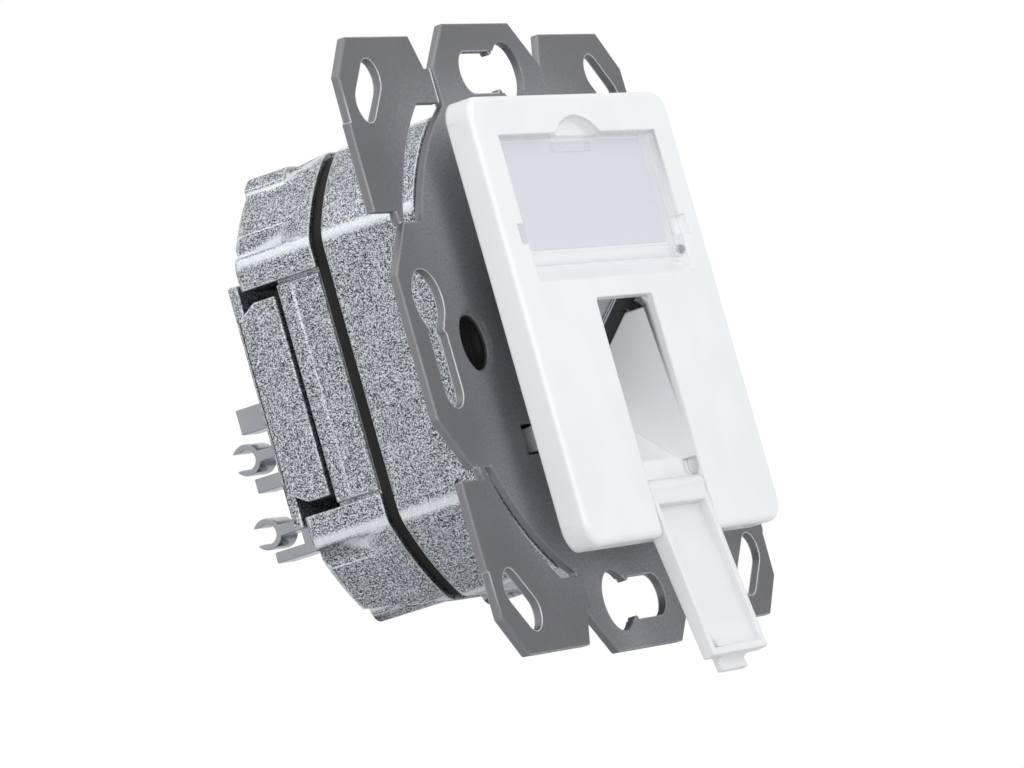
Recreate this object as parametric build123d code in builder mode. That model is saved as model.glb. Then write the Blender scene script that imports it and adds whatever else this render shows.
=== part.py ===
from build123d import *
from math import cos, radians, sin, sqrt, tan
import os

# Flush-mounting data outlet: a centre plate with a hinged label window and a hinged
# dust flap, on a stamped support ring that carries a two-part zinc housing with one
# shielded jack that faces down and forward.
# Millimetres. +X is right and +Z is up, seen from the front, and +Y goes into the wall.
# The origin is the centre of the support ring, in the plane of the wall.

# Clearances
moving_gap = 0.3
pin_clearance = 0.06
seat_gap = 0.1
overcut = 1.0

# Centre plate
plate_size = 50.0
plate_stand_off = 9.9
plate_depth = 3.2
plate_wall = 1.5
plate_corner = 2.8
plate_edge = 0.7
plate_rib = 1.0

# Label recess and window
recess_width = 39.6
recess_top = 20.5
recess_depth = 2.2
recess_wall = 1.3
window_axis_height = 6.8
window_axis_depth = 0.95
window_thickness = 1.1
window_sink = 0.15
window_pin_radius = 0.5
window_pin_length = 1.1
window_tab_width = 11.0
window_tab_rise = 1.7
window_latch_width = 9.0
window_latch_height = 1.0
clip_pocket_width = 1.6
clip_pocket_height = 2.2
clip_pocket_bottom = 8.4
label_thickness = 0.25
label_margin = 0.4

# Port opening, chute behind it, and channel below it
port_width = 14.6
port_top = 1.9
port_side_top = 0.8
port_corner = 0.6
channel_depth = 2.5
chute_wall = 1.2
jack_slope = 45.0
jack_face_depth = 8.0
jack_face_height = -3.3
ramp_offset = 5.25

# Dust flap and its bearings in the channel's side walls
flap_axis_height = -19.65
flap_axis_depth = 1.2
flap_reach = 19.5
flap_skin = 0.8
flap_rim = 0.9
flap_hinge_thickness = 2.1
flap_end_thickness = 1.45
flap_boss_depth = 0.6
flap_barrel_radius = 1.1
flap_clearance = 0.15
flap_tab_width = 6.4
flap_tab_reach = 1.5
flap_tab_step = 0.8
flap_pin_radius = 0.55
flap_pin_length = 1.0
flap_open_angle = 172.0
lead_in_front = 0.4
lead_in_back = 2.1
lead_in_top = -16.6
lead_in_shoulder = -17.9
lead_in_throat = 0.8

# Support ring
ring_thickness = 1.0
ring_set_back = 0.5
tab_edge = 2.2
ring_slot_inset = 0.5
ring_slot_width = 3.1
upright_tip = 8.2
upright_half = 13.3
upright_shoulder = 30.7
side_tip = 8.0
side_half = 13.65
side_shoulder = 30.5
corner_slot_end = 26.8
corner_top = 34.4
corner_inner = 16.2
corner_inner_foot = 14.5
corner_chamfer_x = 31.2
corner_side = 35.2
corner_chamfer_z = 30.1
corner_step_z = 25.0
corner_foot = 15.0
lower_corner_overlap = 0.3
box_screw_radius = 30.0
keyhole_offset = 5.0
keyhole_lobe_radius = 3.4
upright_slot_width = 4.8
side_slot_width = 4.2
keyhole_slot_reach = 7.0
keyhole_nub_radius = 0.45
corner_hole_place = 29.2
corner_hole_height = 28.4
corner_hole_length = 8.3
corner_hole_width = 4.2
ring_window_width = 20.6
ring_window_height = 36.0
ring_window_corner = 3.0
relief_hole_place = 21.4
relief_hole_radius = 3.1
relief_hole_rim = 0.5

# Snap legs of the centre plate, and the ring's slots for the lower two
snap_slot_place = 14.75
snap_slot_width = 3.7
snap_slot_height = 3.4
snap_place_z = 11.2
snap_leg = 1.1
snap_hook = 0.7
snap_hook_length = 1.6

# Housing
box_bore_radius = 29.8
housing_size = 50.8
housing_corner = 4.0
housing_wall = 1.8
front_housing_depth = 11.7
frame_thickness = 1.5
frame_recess = 0.6
rear_housing_depth = 9.9
rear_fall = 2.0
frame_window_height = 41.0
cheek_thickness = 1.5
cheek_margin = 2.2
rear_edge = 0.8
side_band_height = 25.4
side_band_recess = 1.0
panel_raise = 0.7
panel_gap = 0.5
panel_inner_width = 3.6
panel_inner_depth = 0.3
pocket_height = 2.6
pocket_centre = 17.6
pocket_length = 6.4
pocket_depth = 1.6
lug_x = 15.8
lug_width = 6.4
lug_top = 25.1
lug_length = 5.0
lug_proud = 0.7
boss_x = 13.6
boss_radius = 2.1
boss_height = 23.0
screw_circle_radius = 26.73
ring_screw_x = 10.0
ring_screw_z = 21.6
screw_boss_radius = 2.5
screw_radius = 1.1
thread_play = 0.04
screw_bite = 6.0
screw_head_radius = 1.9
screw_head_height = 1.2
bore_sides = 12
boss_sides = 8

# Rear cover
cover_height = 22.4
cover_front = 18.5
cover_back = 24.1
cover_chamfer = 1.9
cover_wall = 1.6
cover_skirt_gap = 0.4
flange_width = 49.6
flange_height = 27.2
flange_gap = 0.3
cover_screw_x = 21.4
cover_screw_z = 6.5
cable_entry_radius = 4.2
cable_entry_height = 2.6

# Strain relief combs
comb_x = 19.0
comb_width = 4.0
comb_base = 1.2
comb_stem = 1.2
comb_reach = 5.3
cradle_heights = (-4.4, -12.8)
cradle_radius = 1.75
cradle_wall = 0.65
cradle_mouth = 1.9
comb_bars = ((-0.3, 2.8), (-7.5, 1.6), (-15.6, 1.2))
bar_reach = 5.0

# Jack, board and terminals, measured along and across the slope
shield_width = 15.9
shield_height = 12.9
shield_length = 17.0
shield_wall = 0.3
insert_gap = 0.05
plug_width = 11.9
plug_height = 6.8
plug_depth = 13.0
plug_shift = 0.9
latch_width = 6.2
latch_height = 2.4
contact_count = 8
contact_pitch = 1.02
contact_width = 0.4
contact_start = 2.4
contact_bend = 9.5
contact_rise = 0.9
contact_tail = 0.8
board_width = 33.0
board_height = 20.0
board_thickness = 1.2
terminal_x = 10.0
terminal_width = 12.0
terminal_height = 8.4
terminal_depth = 6.0
terminal_count = 4
terminal_pitch = 2.6
wire_slot_width = 1.2
wire_slot_depth = 3.4
blade_thickness = 0.4
blade_width = 3.0
blade_height = 4.8
spring_width = 6.0
spring_thickness = 0.3
spring_start = 15.5
spring_bend = 12.0
spring_foot = 1.5

# Levels worked out from the sizes above
front_face = -plate_stand_off
back_of_plate = front_face + plate_depth
ring_rear = -ring_set_back
ring_front = ring_rear - ring_thickness
front_housing_end = ring_rear + front_housing_depth
frame_end = front_housing_end + frame_thickness
rear_housing_end = frame_end + rear_housing_depth
half_plate = plate_size / 2
half_housing = housing_size / 2
board_front = shield_length
board_rear = board_front + board_thickness
flap_width = port_width - 2 * moving_gap
ring_reach = box_screw_radius + keyhole_lobe_radius + tab_edge
slot_inner_radius = box_screw_radius - ring_slot_inset
slot_outer_radius = slot_inner_radius + ring_slot_width
snap_length = snap_slot_height - 2 * moving_gap
upper_leg_x = ring_window_width / 2 - seat_gap - snap_leg / 2
lower_leg_x = snap_slot_place - snap_slot_width / 2 + seat_gap + snap_leg / 2
frame_window_width = board_width + 2 * cheek_thickness
housing_screw_x = frame_window_width / 2 + screw_radius + seat_gap
housing_screw_z = sqrt(screw_circle_radius**2 - housing_screw_x**2)
quadrants = [(x, z) for x in (-1, 1) for z in (-1, 1)]
# Bores and bosses of the screws are many-sided, and these are their corner radii
bore_spread = cos(radians(180.0 / bore_sides))
bore_radius = screw_radius / bore_spread
clear_radius = (screw_radius + seat_gap) / bore_spread
head_clear_radius = (screw_head_radius + seat_gap) / bore_spread
boss_clear_radius = (screw_boss_radius + seat_gap) / cos(radians(180.0 / boss_sides))


def wall_plane(depth):
    """Plane parallel to the wall at a depth, with its normal towards the front."""
    return Plane.XZ.offset(-depth)


def side_plane(x):
    """Plane at a place across the width, whose own axes are depth and height."""
    return Plane(origin=(x, 0, 0), x_dir=(0, 1, 0), z_dir=(1, 0, 0))


def from_front(points):
    """Profile points given behind the plate's front face, in wall depth."""
    return [(front_face + depth, height) for depth, height in points]


# The slope's own frame: X across, Y down the jack's face, Z into the jack
slope = radians(jack_slope)
jack_plane = Plane(
    origin=(0, front_face + jack_face_depth, jack_face_height),
    x_dir=(1, 0, 0),
    z_dir=(0, cos(slope), sin(slope)),
)


def on_face(down):
    """Depth behind the front face, and height, of a point down the jack's face line."""
    return (jack_face_depth + down * sin(slope), jack_face_height - down * cos(slope))


def back_along_slope(point, depth):
    """Point where the line down the slope from a point reaches a given depth."""
    run = point[0] - depth
    return (depth, point[1] - run * sin(slope) / cos(slope))


# Centre plate: shell, label recess, chute, channel, flap bearings and snap legs
face_top = (jack_face_depth + (jack_face_height - port_side_top), port_side_top)
ramp_end = on_face(ramp_offset)
ramp_foot = back_along_slope(ramp_end, channel_depth)
under_end = on_face(ramp_offset + chute_wall)
under_foot = back_along_slope(under_end, channel_depth + chute_wall)
port_bottom = -half_plate - overcut
chute_width = port_width + 2 * chute_wall
# The channel's floor lies behind the open flap, at the flap's own slope
hang = radians(180.0 - flap_open_angle)
floor_gap = (flap_barrel_radius + flap_clearance) / cos(hang)
channel_bend = flap_axis_height - (flap_axis_depth + floor_gap - channel_depth) / tan(hang)
channel_foot = flap_axis_depth + floor_gap - (flap_axis_height + half_plate) * tan(hang)
channel_end = channel_foot - overcut * tan(hang)
recess_bottom = window_axis_height - window_axis_depth - moving_gap
recess_mouth = recess_bottom - recess_depth + (recess_depth - window_axis_depth) / 2

with BuildPart() as centre_plate:
    with BuildSketch(wall_plane(front_face)):
        RectangleRounded(plate_size, plate_size, plate_corner)
    extrude(amount=-plate_depth)
    fillet(centre_plate.faces().sort_by(Axis.Y)[0].edges(), plate_edge)
    with BuildSketch(wall_plane(back_of_plate)):
        hollow = plate_size - 2 * plate_wall
        Rectangle(hollow, hollow)
    extrude(amount=plate_depth - plate_wall, mode=Mode.SUBTRACT)
    # Backing behind the recess and the lower ribs
    with BuildSketch(wall_plane(back_of_plate)):
        backing_top = recess_top + window_tab_rise + recess_wall
        backing_bottom = recess_mouth - recess_wall
        backing_height = backing_top - backing_bottom
        with Locations((0, backing_bottom + backing_height / 2)):
            Rectangle(plate_size - 2 * plate_wall, backing_height)
        for x in (-half_plate / 2 - plate_rib, half_plate / 2 + plate_rib):
            with Locations((x, -half_plate / 2)):
                Rectangle(plate_rib, half_plate - 2 * plate_wall)
    extrude(amount=plate_depth - plate_wall)
    # Floor under the label
    with BuildSketch(wall_plane(back_of_plate)):
        with Locations((0, backing_bottom + backing_height / 2)):
            Rectangle(recess_width + 2 * clip_pocket_width, backing_height - recess_wall)
    extrude(amount=-plate_rib)
    with BuildSketch(side_plane(0)):
        Polygon(*from_front([
            (-overcut, recess_top),
            (recess_depth, recess_top),
            (recess_depth, recess_bottom),
            (window_axis_depth + overcut / 2, recess_bottom),
            (0, recess_mouth),
            (-overcut, recess_mouth),
        ]), align=None)
    extrude(amount=recess_width / 2, both=True, mode=Mode.SUBTRACT)
    # Thumb notch over the recess, and the clip pockets beside it
    with BuildSketch(wall_plane(front_face)):
        notch_half = window_tab_width / 2 + moving_gap
        notch_rise = window_tab_rise + moving_gap
        with BuildLine():
            ThreePointArc(
                (-notch_half, recess_top),
                (0, recess_top + notch_rise),
                (notch_half, recess_top),
            )
            Line((notch_half, recess_top), (-notch_half, recess_top))
        make_face()
    extrude(amount=-(window_sink + window_thickness + moving_gap), mode=Mode.SUBTRACT)
    with BuildSketch(wall_plane(front_face)):
        for side in (-1, 1):
            clip_x = side * (recess_width + clip_pocket_width) / 2
            with Locations((clip_x, clip_pocket_bottom + clip_pocket_height / 2)):
                Rectangle(clip_pocket_width, clip_pocket_height)
    extrude(amount=-window_thickness, mode=Mode.SUBTRACT)
    # Bearings of the window's pins
    with BuildSketch(side_plane(0)):
        with Locations((front_face + window_axis_depth, window_axis_height)):
            Circle(window_pin_radius + pin_clearance)
    pin_bore_half = recess_width / 2 + window_pin_length
    extrude(amount=pin_bore_half, both=True, mode=Mode.SUBTRACT)
    # Chute walls, ramp, and the floor and walls of the channel
    with BuildSketch(side_plane(0)):
        Polygon(*from_front([
            (plate_wall / 2, -half_plate),
            (plate_wall / 2, port_side_top),
            face_top,
            under_end,
            under_foot,
            (channel_depth + chute_wall, channel_bend),
            (channel_foot + chute_wall, -half_plate),
        ]), align=None)
    extrude(amount=chute_width / 2, both=True)
    with BuildSketch(side_plane(0)):
        clear_depth = under_end[0] + overcut
        Polygon(*from_front([
            (plate_wall / 2, port_bottom),
            (plate_wall / 2, port_top),
            (clear_depth, port_top),
            (clear_depth, ramp_end[1] + clear_depth - ramp_end[0]),
            ramp_foot,
            (channel_depth, channel_bend),
            (channel_end, port_bottom),
        ]), align=None)
    extrude(amount=port_width / 2, both=True, mode=Mode.SUBTRACT)
    with BuildSketch(wall_plane(front_face)):
        with Locations((0, (port_top + port_bottom) / 2)):
            RectangleRounded(port_width, port_top - port_bottom, port_corner)
    extrude(amount=-channel_end, mode=Mode.SUBTRACT)
    # Bearings of the flap's pins, each with its lead-in notch above
    with BuildSketch(side_plane(0)):
        with Locations((front_face + flap_axis_depth, flap_axis_height)):
            Circle(flap_pin_radius + pin_clearance)
        Polygon(*from_front([
            (lead_in_front, lead_in_top),
            (lead_in_back, lead_in_top),
            (lead_in_back, lead_in_shoulder),
            (flap_axis_depth + lead_in_throat / 2, flap_axis_height + flap_barrel_radius),
            (flap_axis_depth + lead_in_throat / 2, flap_axis_height),
            (flap_axis_depth - lead_in_throat / 2, flap_axis_height),
            (flap_axis_depth - lead_in_throat / 2, flap_axis_height + flap_barrel_radius),
            (lead_in_front, lead_in_shoulder),
        ]), align=None)
    bearing_half = flap_width / 2 + flap_pin_length + moving_gap + seat_gap
    extrude(amount=bearing_half, both=True, mode=Mode.SUBTRACT)
    # Snap legs: posts through the ring with hooks behind it
    hook_front = ring_rear + seat_gap
    hook_end = hook_front + snap_hook_length
    for x, z in quadrants:
        # The upper hooks point outwards and the lower ones inwards
        leg_x = upper_leg_x if z > 0 else lower_leg_x
        hook_x = leg_x + z * snap_hook / 2
        root = back_of_plate if z > 0 else front_face + plate_wall
        with BuildSketch(wall_plane(hook_end)):
            with Locations((x * leg_x, z * snap_place_z)):
                Rectangle(snap_leg, snap_length)
        extrude(amount=hook_end - root)
        with BuildSketch(wall_plane(hook_end)):
            with Locations((x * hook_x, z * snap_place_z)):
                Rectangle(snap_leg + snap_hook, snap_length)
        extrude(amount=snap_hook_length)

# Label insert: one card on the recess floor, under the window
label_bottom = window_axis_height + window_axis_depth + moving_gap
label_top = recess_top - label_margin
with BuildPart() as label_insert:
    with BuildSketch(wall_plane(front_face + recess_depth)):
        with Locations((0, (label_top + label_bottom) / 2)):
            Rectangle(recess_width - 2 * label_margin, label_top - label_bottom)
    extrude(amount=label_thickness)

# Label window: plate, hinge barrel with pins, thumb tab and latch
window_front = front_face + window_sink
window_back = window_front + window_thickness
window_top = recess_top - moving_gap
window_half = recess_width / 2 - moving_gap
barrel_radius = window_axis_depth - window_sink
with BuildPart() as label_window:
    with BuildSketch(wall_plane(window_back)):
        with Locations((0, (window_top + window_axis_height) / 2)):
            Rectangle(2 * window_half, window_top - window_axis_height)
        with BuildLine():
            tab_half = window_tab_width / 2
            ThreePointArc(
                (-tab_half, window_top),
                (0, recess_top + window_tab_rise),
                (tab_half, window_top),
            )
            Line((tab_half, window_top), (-tab_half, window_top))
        make_face()
    extrude(amount=window_thickness)
    with BuildSketch(side_plane(0)):
        with Locations((front_face + window_axis_depth, window_axis_height)):
            Circle(barrel_radius)
    extrude(amount=window_half, both=True)
    with BuildSketch(side_plane(0)):
        with Locations((front_face + window_axis_depth, window_axis_height)):
            Circle(window_pin_radius)
    extrude(amount=pin_bore_half - seat_gap, both=True)
    with BuildSketch(wall_plane(window_back)):
        with Locations((0, window_top - window_latch_height)):
            Rectangle(window_latch_width, window_latch_height)
    extrude(amount=-(recess_depth - window_sink - window_thickness) / 2)

# Dust flap, hanging open in the channel, with its rims to the front
def on_flap(along, out):
    """Depth and height of a point along the flap from its hinge and out of its face."""
    return (
        front_face + flap_axis_depth - along * sin(hang) + out * cos(hang),
        flap_axis_height - along * cos(hang) - out * sin(hang),
    )


outer = flap_barrel_radius
inner = outer - flap_skin
with BuildPart() as dust_flap:
    with BuildSketch(side_plane(0)):
        Polygon(
            on_flap(0, outer),
            on_flap(flap_reach, outer),
            on_flap(flap_reach, outer - flap_end_thickness),
            on_flap(0, outer - flap_hinge_thickness),
            align=None,
        )
        with Locations((front_face + flap_axis_depth, flap_axis_height)):
            Circle(flap_barrel_radius)
    extrude(amount=flap_width / 2, both=True)
    with BuildSketch(side_plane(0)):
        Polygon(
            on_flap(flap_barrel_radius + flap_rim, inner),
            on_flap(flap_reach - flap_rim, inner),
            on_flap(flap_reach - flap_rim, inner - flap_hinge_thickness),
            on_flap(flap_barrel_radius + flap_rim, inner - flap_hinge_thickness),
            align=None,
        )
    extrude(amount=flap_width / 2 - flap_rim, both=True, mode=Mode.SUBTRACT)
    # Small boss in the corner of the rim
    flap_plane = Plane(
        origin=(0, *on_flap(flap_reach - 1.5 * flap_rim, inner)),
        x_dir=(1, 0, 0),
        z_dir=(0, cos(hang), -sin(hang)),
    )
    with BuildSketch(flap_plane):
        with Locations((1.5 * flap_rim - flap_width / 2, 0)):
            Circle(flap_rim)
    extrude(amount=-flap_boss_depth)
    with BuildSketch(side_plane(0)):
        Polygon(
            on_flap(flap_reach - flap_tab_reach, inner),
            on_flap(flap_reach - flap_tab_reach, outer),
            on_flap(flap_reach - flap_tab_reach + 1.5 * flap_tab_step, outer + flap_tab_step),
            on_flap(flap_reach + flap_tab_reach, outer + flap_tab_step),
            on_flap(flap_reach + flap_tab_reach, outer),
            on_flap(flap_reach + flap_tab_step / 2, outer),
            on_flap(flap_reach, inner),
            align=None,
        )
    extrude(amount=flap_tab_width / 2, both=True)
    with BuildSketch(side_plane(0)):
        with Locations((front_face + flap_axis_depth, flap_axis_height)):
            Circle(flap_pin_radius)
    extrude(amount=flap_width / 2 + moving_gap + flap_pin_length, both=True)

# Support ring: a cross with four slotted tabs, and corner tabs pressed back
upright_tab = [
    (-upright_half, slot_inner_radius / 2),
    (-upright_half, upright_shoulder),
    (-upright_tip, ring_reach),
    (upright_tip, ring_reach),
    (upright_half, upright_shoulder),
    (upright_half, slot_inner_radius / 2),
]
side_tab = [
    (-side_half, slot_inner_radius / 2),
    (-side_half, side_shoulder),
    (-side_tip, ring_reach),
    (side_tip, ring_reach),
    (side_half, side_shoulder),
    (side_half, slot_inner_radius / 2),
]
corner_tab = [
    (upright_half, corner_slot_end),
    (upright_half, upright_shoulder),
    (corner_inner_foot, upright_shoulder),
    (corner_inner, corner_top),
    (corner_chamfer_x, corner_top),
    (corner_side, corner_chamfer_z),
    (corner_side, corner_step_z),
    (ring_reach, corner_step_z),
    (ring_reach, corner_foot),
    (side_shoulder, corner_foot),
    (side_shoulder, side_half),
    (corner_slot_end, side_half),
]

with BuildSketch() as slot_space:
    Circle(slot_outer_radius)
    Rectangle(2 * slot_outer_radius, 2 * corner_slot_end, mode=Mode.INTERSECT)

with BuildSketch() as keyholes:
    for angle, width in ((0, upright_slot_width), (90, side_slot_width)):
        for turn in (angle, angle + 180):
            with BuildSketch(Plane.XY.rotated((0, 0, turn)), mode=Mode.PRIVATE) as keyhole:
                with Locations((keyhole_offset, box_screw_radius)):
                    Circle(keyhole_lobe_radius)
                slot_end = width / 2 - keyhole_slot_reach
                with Locations(((keyhole_offset + slot_end) / 2, box_screw_radius)):
                    Rectangle(keyhole_offset - slot_end, width)
                with Locations((slot_end, box_screw_radius)):
                    Circle(width / 2)
                nub_x = keyhole_offset - keyhole_lobe_radius
                with Locations(
                    (nub_x, box_screw_radius + width / 2),
                    (nub_x, box_screw_radius - width / 2),
                ):
                    RegularPolygon(keyhole_nub_radius, boss_sides, mode=Mode.SUBTRACT)
            add(keyhole.sketch)

with BuildPart() as support_ring:
    with BuildSketch(wall_plane(ring_rear)):
        Circle(slot_inner_radius)
        for turn in (0, 180):
            Polygon(*upright_tab, rotation=turn, align=None)
        for turn in (90, 270):
            Polygon(*side_tab, rotation=turn, align=None)
    extrude(amount=ring_thickness)
    # The upper corner tabs are pressed back to the wall, and the lower ones forward
    for z, tab_rear in ((1, 0), (-1, ring_front + lower_corner_overlap)):
        with BuildSketch(wall_plane(tab_rear)):
            for x in (-1, 1):
                Polygon(*[(x * px, z * pz) for px, pz in corner_tab], align=None)
            add(slot_space.sketch, mode=Mode.SUBTRACT)
        extrude(amount=ring_thickness)
    with BuildSketch(wall_plane(0)):
        add(keyholes.sketch)
        for x, z in quadrants:
            with Locations((x * corner_hole_place, z * corner_hole_height)):
                SlotOverall(corner_hole_length, corner_hole_width, rotation=-45 * x * z)
            with Locations((x * ring_screw_x, z * ring_screw_z)):
                RegularPolygon(clear_radius, bore_sides)
        with Locations((-snap_slot_place, -snap_place_z), (snap_slot_place, -snap_place_z)):
            Rectangle(snap_slot_width, snap_slot_height)
        with Locations((-relief_hole_place, 0), (relief_hole_place, 0)):
            Circle(relief_hole_radius)
        RectangleRounded(ring_window_width, ring_window_height, ring_window_corner)
    extrude(amount=2 * ring_thickness + ring_set_back, mode=Mode.SUBTRACT)
    rims = support_ring.edges().filter_by(GeomType.CIRCLE)
    rims = rims.filter_by(lambda edge: abs(edge.radius - relief_hole_radius) < seat_gap / 2)
    chamfer(rims.group_by(Axis.Y)[0], relief_hole_rim)


def housing_outline(inset=0.0):
    """Square with its corners on the wall box's bore, drawn in the current sketch."""
    with BuildSketch(mode=Mode.PRIVATE) as outline:
        Rectangle(housing_size - 2 * inset, housing_size - 2 * inset)
        Circle(box_bore_radius - inset, mode=Mode.INTERSECT)
        fillet(outline.vertices(), housing_corner)
    add(outline.sketch)


screw_places = [(x * housing_screw_x, z * housing_screw_z) for x, z in quadrants]
ring_screw_places = [(x * ring_screw_x, z * ring_screw_z) for x, z in quadrants]
cover_screw_places = [(-cover_screw_x, cover_screw_z), (cover_screw_x, cover_screw_z)]

# Front housing: cast shell, open to the rear, with a window for the jack
with BuildPart() as front_housing:
    with BuildSketch(wall_plane(ring_rear)):
        housing_outline()
    extrude(amount=-front_housing_depth)
    with BuildSketch(wall_plane(ring_rear + housing_wall)):
        housing_outline(housing_wall)
    extrude(amount=housing_wall - front_housing_depth, mode=Mode.SUBTRACT)
    with BuildSketch(wall_plane(ring_rear + housing_wall / 2)):
        with Locations(*screw_places, *ring_screw_places):
            RegularPolygon(screw_boss_radius, boss_sides)
    extrude(amount=housing_wall / 2 - front_housing_depth, mode=Mode.ADD)
    with BuildSketch(wall_plane(ring_rear)):
        Rectangle(ring_window_width - 2, ring_window_height - 2)
        hook_room = 2 * (snap_hook + moving_gap)
        with Locations((-upper_leg_x, snap_place_z), (upper_leg_x, snap_place_z)):
            Rectangle(snap_leg + hook_room, snap_slot_height)
        with Locations((-snap_slot_place, -snap_place_z), (snap_slot_place, -snap_place_z)):
            Rectangle(snap_slot_width + hook_room, snap_slot_height)
    extrude(amount=-housing_wall, mode=Mode.SUBTRACT)
    with BuildSketch(wall_plane(ring_rear)):
        with Locations(*ring_screw_places):
            RegularPolygon(bore_radius, bore_sides)
    extrude(amount=-screw_bite, mode=Mode.SUBTRACT)
    with BuildSketch(wall_plane(front_housing_end)):
        with Locations(*screw_places):
            RegularPolygon(bore_radius, bore_sides)
    extrude(amount=screw_bite, mode=Mode.SUBTRACT)

# Carrier frame: the dark line between the castings, with cheeks that hold the board
def on_slope(down, along):
    """Depth and height of a point given down the jack's face and along the jack."""
    return (
        front_face + jack_face_depth + along * cos(slope) + down * sin(slope),
        jack_face_height + along * sin(slope) - down * cos(slope),
    )


with BuildPart() as carrier_frame:
    with BuildSketch(wall_plane(front_housing_end)):
        housing_outline(frame_recess)
        RectangleRounded(
            frame_window_width, frame_window_height, housing_corner, mode=Mode.SUBTRACT
        )
        with Locations(*screw_places):
            RegularPolygon(clear_radius, bore_sides, mode=Mode.SUBTRACT)
        with Locations(*ring_screw_places):
            RegularPolygon(boss_clear_radius, boss_sides, mode=Mode.SUBTRACT)
    extrude(amount=-frame_thickness)
    # The cheeks end below the bosses of the housing's screws
    cheek_room = housing_screw_z - screw_boss_radius - seat_gap - jack_face_height
    cheek_half = cheek_room / cos(slope) - (board_rear + cheek_margin) * tan(slope)
    for side in (-1, 1):
        with BuildSketch(side_plane(side * board_width / 2)):
            Polygon(
                on_slope(-cheek_half, board_front - cheek_margin),
                on_slope(cheek_half, board_front - cheek_margin),
                on_slope(cheek_half, board_rear + cheek_margin),
                on_slope(-cheek_half, board_rear + cheek_margin),
                align=None,
            )
        extrude(amount=side * (frame_window_width - board_width) / 2)

# Rear housing: cast frame with corner blocks, pockets, lugs, bosses and side panels
band_x = half_housing - side_band_recess
with BuildPart() as rear_housing:
    with BuildSketch(wall_plane(frame_end)):
        housing_outline()
    extrude(amount=-rear_housing_depth)
    chamfer(rear_housing.faces().sort_by(Axis.Y)[-1].edges(), rear_edge)
    # The top and the bottom fall towards the rear
    with BuildSketch(side_plane(0)):
        for z in (-1, 1):
            Polygon(
                (frame_end, z * half_housing),
                (rear_housing_end, z * (half_housing - rear_fall)),
                (rear_housing_end, z * (half_housing + overcut)),
                (frame_end, z * (half_housing + overcut)),
                align=None,
            )
    extrude(amount=half_housing, both=True, mode=Mode.SUBTRACT)
    with BuildSketch(wall_plane(frame_end)):
        with Locations((-boss_x, -boss_height), (boss_x, -boss_height)):
            Circle(boss_radius)
    extrude(amount=-rear_housing_depth)
    # Raised lugs on the top, which keep to the wall box's bore
    with BuildSketch(wall_plane(rear_housing_end - rear_edge - lug_length)):
        lug_foot = half_housing - rear_fall - housing_wall
        for x in (-1, 1):
            with Locations((x * lug_x, (lug_top + lug_foot) / 2)):
                Rectangle(lug_width, lug_top - lug_foot)
        Circle(box_bore_radius + lug_proud, mode=Mode.INTERSECT)
    extrude(amount=-lug_length)
    with BuildSketch(wall_plane(frame_end)):
        housing_outline(housing_wall + rear_fall)
    extrude(amount=housing_wall - rear_housing_depth, mode=Mode.SUBTRACT)
    with BuildSketch(wall_plane(frame_end)):
        with Locations(*screw_places):
            RegularPolygon(screw_boss_radius, boss_sides)
    extrude(amount=housing_wall / 2 - rear_housing_depth)
    # Band across the middle that the cover closes
    with BuildSketch(wall_plane(cover_front - cover_skirt_gap)):
        Rectangle(housing_size + 2 * overcut, side_band_height)
    extrude(amount=-rear_housing_depth, mode=Mode.SUBTRACT)
    with BuildSketch(wall_plane(frame_end)):
        for side in (-1, 1):
            with Locations((side * (band_x + overcut), 0)):
                Rectangle(2 * overcut, side_band_height)
    extrude(amount=-rear_housing_depth, mode=Mode.SUBTRACT)
    with BuildSketch(wall_plane(frame_end + panel_gap / 2)):
        for side in (-1, 1):
            with Locations((side * (band_x + panel_raise / 2 - overcut / 4), 0)):
                Rectangle(panel_raise + overcut / 2, side_band_height - 2 * panel_gap)
    panel_length = cover_front - cover_skirt_gap - frame_end - panel_gap / 2
    extrude(amount=-panel_length)
    with BuildSketch(wall_plane(frame_end)):
        for side in (-1, 1):
            with Locations((side * (band_x + panel_raise), 0)):
                Rectangle(2 * panel_inner_depth, side_band_height - 2 * panel_gap)
    extrude(amount=-panel_inner_width, mode=Mode.SUBTRACT)
    # Pockets in the corner blocks, open to the rear
    with BuildSketch(wall_plane(rear_housing_end - pocket_length)):
        for x, z in quadrants:
            with Locations((x * (half_housing - pocket_depth + overcut), z * pocket_centre)):
                Rectangle(2 * pocket_depth, pocket_height)
    extrude(amount=-pocket_length, mode=Mode.SUBTRACT)
    # Bosses for the cover's screws, and the ways for the housing's own screws
    with BuildSketch(wall_plane(frame_end)):
        with Locations(*cover_screw_places):
            RegularPolygon(screw_boss_radius, boss_sides)
    extrude(amount=frame_end - cover_front)
    with BuildSketch(wall_plane(cover_front)):
        with Locations(*cover_screw_places):
            RegularPolygon(bore_radius, bore_sides)
    extrude(amount=cover_front - frame_end, mode=Mode.SUBTRACT)
    with BuildSketch(wall_plane(rear_housing_end)):
        with Locations(*screw_places):
            RegularPolygon(clear_radius, bore_sides)
    extrude(amount=rear_housing_depth, mode=Mode.SUBTRACT)
    with BuildSketch(wall_plane(rear_housing_end)):
        with Locations(*screw_places):
            RegularPolygon(head_clear_radius, bore_sides)
    extrude(amount=screw_head_height + seat_gap, mode=Mode.SUBTRACT)

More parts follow.
